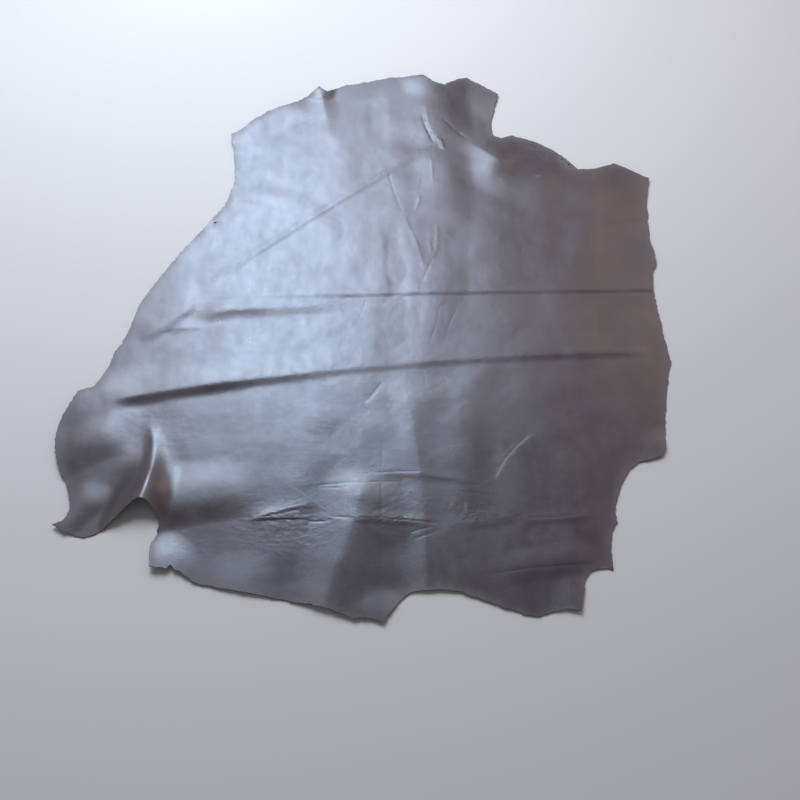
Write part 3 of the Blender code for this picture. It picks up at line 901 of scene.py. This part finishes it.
def make_grain_material():
    """Smooth dressed grain: brown dye under a semi-gloss finish, with pores and a fine pebble."""
    material = new_material("leather_grain")
    tree = material.node_tree
    place = add(tree, "TexCoord").outputs["Object"]

    cell_place = mixed(tree, WARP_REACH, place, noise(tree, place, WARP, "Color"), "ADD")
    pebble = ranged(tree, cells(tree, cell_place, PEBBLE_SCALE, "DISTANCE_TO_EDGE"), PEBBLE_EDGE)
    pores = ranged(tree, cells(tree, cell_place, PORE_SCALE, "F1"), PORE_MIDDLE)
    vein_place = stretched(tree, cell_place, VEIN_STRETCH)
    veins = ranged(tree, cells(tree, vein_place, VEIN_SCALE, "DISTANCE_TO_EDGE"), VEIN_EDGE)
    veins = math_of(tree, "MULTIPLY", veins, ranged(tree, attribute(tree, "loose"), VEIN_IN_LOOSE_GRAIN))

    cloud = noise(tree, place, CLOUD)
    mottle = noise(tree, place, MOTTLE)
    speck = noise(tree, place, SPECK)
    clump = noise(tree, place, CLUMP)
    brushed = noise(tree, stretched(tree, place, BRUSH_STRETCH), BRUSH)

    worn = patchy(tree, "edge_wear", mottle, EDGE_TINT)
    scuffed = patchy(tree, "scuffed", speck, SCUFF_TINT)
    colour = GRAIN_DARK
    for share, over in (
        (ranged(tree, cloud, CLOUD_TINT), GRAIN_LIGHT),
        (ranged(tree, mottle, MOTTLE_TINT), GRAIN_DARK),
        (ranged(tree, speck, SPECK_TINT), GRAIN_LIGHT),
        (ranged(tree, pores, PORE_TINT), PORE_COLOUR),
        (patchy(tree, "crest_wear", mottle, CREST_TINT), GRAIN_WORN),
        (worn, GRAIN_WORN),
        (scuffed, GRAIN_SCUFFED),
        # Painted shade darkens the colour along the fine lines.
        (math_of(tree, "MULTIPLY", attribute(tree, "crease_shade"), CREASE_SHADE_TINT), CREASE_SHADE_COLOUR),
    ):
        colour = mixed(tree, share, colour, over)

    roughness = ranged(tree, cloud, CLOUD_ROUGHNESS)
    for change in (
        ranged(tree, brushed, BRUSH_ROUGHNESS),
        ranged(tree, mottle, MOTTLE_ROUGHNESS),
        ranged(tree, worn, EDGE_ROUGHNESS),
        ranged(tree, scuffed, SCUFF_ROUGHNESS),
    ):
        roughness = math_of(tree, "ADD", roughness, change)

    normal = None
    for height, relief in (
        (brushed, BRUSH_RELIEF),
        (clump, CLUMP_RELIEF),
        (veins, VEIN_RELIEF),
        (pebble, PEBBLE_RELIEF),
        (pores, PORE_RELIEF),
    ):
        normal = bumped(tree, height, relief, normal)

    surface = add(
        tree,
        "BsdfPrincipled",
        {
            "Base Color": colour,
            "Roughness": roughness,
            "Normal": normal,
            "IOR": 1.5,
            "Specular IOR Level": 0.8,
            "Coat Weight": 0.30,
            "Coat Roughness": 0.30,
        },
    )
    finish_material(tree, surface)
    return material


FIBRES = Noise(1.0, 4.0, 0.6)
FIBRE_STRETCH = (500.0, 500.0, 2600.0)
FIBRE_TINT = Span(0.35, 0.65, 0.0, 1.0)
FIBRE_RELIEF = Relief(0.0002, 0.8)
FRAY = Noise(1500.0, 3.0, 0.6)
FRAY_TINT = Span(0.4, 0.7, 0.0, 0.5)
FRAY_ROUGHNESS = Span(0.3, 0.7, 0.8, 0.95)
FRAY_RELIEF = Relief(0.00012, 0.7)
FIBRE_DARK = (0.050, 0.036, 0.031, 1)
FIBRE_LIGHT = (0.120, 0.088, 0.072, 1)


def make_cut_edge_material():
    """The cut edge: matt fibres of the skin, dyed nearly through, in uneven layers."""
    material = new_material("leather_cut_edge")
    tree = material.node_tree
    place = add(tree, "TexCoord").outputs["Object"]
    fibres = noise(tree, stretched(tree, place, FIBRE_STRETCH), FIBRES)
    fray = noise(tree, place, FRAY)
    colour = mixed(tree, ranged(tree, fibres, FIBRE_TINT), FIBRE_DARK, FIBRE_LIGHT)
    colour = mixed(tree, ranged(tree, fray, FRAY_TINT), colour, FIBRE_DARK)
    normal = bumped(tree, fibres, FIBRE_RELIEF)
    normal = bumped(tree, fray, FRAY_RELIEF, normal)
    roughness = ranged(tree, fray, FRAY_ROUGHNESS)
    surface = add(
        tree,
        "BsdfPrincipled",
        {"Base Color": colour, "Roughness": roughness, "Normal": normal, "Sheen Weight": 0.15},
    )
    finish_material(tree, surface)
    return material


FLESH_CLOUD = Noise(16.0, 5.0, 0.6)
FLESH_CLOUD_TINT = Span(0.35, 0.65, 0.0, 1.0)
FLESH_CLOUD_ROUGHNESS = Span(0.3, 0.7, 0.86, 0.96)
NAP = Noise(1.0, 5.0, 0.65)
NAP_STRETCH = (500.0, 900.0, 700.0)
NAP_TINT = Span(0.35, 0.7, 0.0, 0.6)
NAP_RELIEF = Relief(0.00025, 0.8)
LUMPS = Noise(260.0, 3.0, 0.6, 0.6)
LUMP_RELIEF = Relief(0.0003, 0.6)
FLESH_DARK = (0.062, 0.044, 0.038, 1)
FLESH_LIGHT = (0.112, 0.083, 0.070, 1)


def make_flesh_material():
    """The flesh side: short suede nap, brushed unevenly, with a soft sheen."""
    material = new_material("leather_flesh")
    tree = material.node_tree
    place = add(tree, "TexCoord").outputs["Object"]
    cloud = noise(tree, place, FLESH_CLOUD)
    nap = noise(tree, stretched(tree, place, NAP_STRETCH), NAP)
    lumps = noise(tree, place, LUMPS)
    colour = mixed(tree, ranged(tree, cloud, FLESH_CLOUD_TINT), FLESH_DARK, FLESH_LIGHT)
    colour = mixed(tree, ranged(tree, nap, NAP_TINT), colour, FLESH_LIGHT)
    normal = bumped(tree, lumps, LUMP_RELIEF)
    normal = bumped(tree, nap, NAP_RELIEF, normal)
    roughness = ranged(tree, cloud, FLESH_CLOUD_ROUGHNESS)
    surface = add(
        tree,
        "BsdfPrincipled",
        {
            "Base Color": colour,
            "Roughness": roughness,
            "Normal": normal,
            "Sheen Weight": 0.35,
            "Sheen Roughness": 0.4,
        },
    )
    finish_material(tree, surface)
    return material


FLOOR_COLOUR = (0.68, 0.625, 0.55, 1)
FLOOR_ROUGHNESS = 0.9


def make_floor_material():
    material = new_material("studio_floor")
    tree = material.node_tree
    surface = add(tree, "BsdfPrincipled", {"Base Color": FLOOR_COLOUR, "Roughness": FLOOR_ROUGHNESS})
    finish_material(tree, surface)
    return material


# ---------------------------------------------------------------------------------------------------
# Floor, light and camera, in metres.

FLOOR_SIDE = 12.0
FLOOR_DROP = 0.0002

# The camera looks down at this point of the floor, from beyond the butt end.
CAMERA_TARGET = Vector((0.036, -0.1615, 0.0))
CAMERA_DISTANCE = 1.4
CAMERA_ELEVATION = math.radians(60)
CAMERA_LENS = 44.5
CAMERA_SENSOR = 36.0

# A soft light: its place, the point of the floor that it faces, its two sides, its power and colour.
Light = namedtuple("Light", "name x y z aim_x aim_y side_x side_y watts colour")
LIGHTS = (
    Light("window", -0.37, 1.065, 1.31, -0.03, -0.035, 0.61, 1.10, 20.5, (0.50, 0.73, 1.0)),
    Light("wall round the window", -0.44, 1.10, 1.32, -0.09, -0.02, 1.38, 1.06, 20.6, (0.83, 0.84, 1.0)),
    Light("room, right", 1.35, 1.45, 1.70, 0.15, 0.05, 1.10, 1.10, 8.2, (1.0, 0.74, 0.60)),
)

# Pale walls all round, brightest at their foot, go over into a dimmer ceiling. A height here is the sine
# of the elevation at which it is seen.
WALL_COLOUR = (0.56, 0.57, 0.62, 1)
CEILING_COLOUR = (0.135, 0.148, 0.186, 1)
WALL_TO_CEILING = Span(0.05, 0.60, 0.0, 1.0)


def make_floor():
    half = FLOOR_SIDE / 2
    mesh = bpy.data.meshes.new("studio_floor")
    corners = [(-half, -half, 0), (half, -half, 0), (half, half, 0), (-half, half, 0)]
    mesh.from_pydata(corners, [], [(0, 1, 2, 3)])
    mesh.materials.append(make_floor_material())
    floor = bpy.data.objects.new("studio_floor", mesh)
    floor.location.z = -FLOOR_DROP
    bpy.context.scene.collection.objects.link(floor)


def make_lights():
    for row in LIGHTS:
        lamp = bpy.data.lights.new(row.name, "AREA")
        lamp.shape = "RECTANGLE"
        lamp.size = row.side_x
        lamp.size_y = row.side_y
        lamp.energy = row.watts
        lamp.color = row.colour
        light = bpy.data.objects.new(row.name, lamp)
        light.location = (row.x, row.y, row.z)
        aim = Vector((row.aim_x, row.aim_y, 0)) - light.location
        light.rotation_euler = aim.to_track_quat("-Z", "Y").to_euler()
        bpy.context.scene.collection.objects.link(light)


def make_world():
    world = bpy.data.worlds.new("studio")
    world.use_nodes = True
    tree = world.node_tree
    tree.nodes.clear()
    direction = add(tree, "TexCoord").outputs["Generated"]
    height = add(tree, "SeparateXYZ", {"Vector": direction}).outputs["Z"]
    share = ranged(tree, height, WALL_TO_CEILING)
    sky = add(tree, "Background", {"Color": mixed(tree, share, WALL_COLOUR, CEILING_COLOUR)})
    output = tree.nodes.new("ShaderNodeOutputWorld")
    tree.links.new(sky.outputs["Background"], output.inputs["Surface"])
    bpy.context.scene.world = world


def make_camera():
    lens = bpy.data.cameras.new("camera")
    lens.lens = CAMERA_LENS
    lens.sensor_width = CAMERA_SENSOR
    camera = bpy.data.objects.new("camera", lens)
    back = Vector((0, -math.cos(CAMERA_ELEVATION), math.sin(CAMERA_ELEVATION)))
    camera.location = CAMERA_TARGET + back * CAMERA_DISTANCE
    camera.rotation_euler = (math.pi / 2 - CAMERA_ELEVATION, 0, 0)
    bpy.context.scene.collection.objects.link(camera)
    bpy.context.scene.camera = camera


def main():
    bpy.context.scene.view_settings.view_transform = "Standard"
    make_camera()
    make_world()
    make_lights()
    make_floor()
    hide = make_sheet([make_grain_material(), make_cut_edge_material(), make_flesh_material()])
    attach(hide, "root")
    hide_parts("hide")


main()
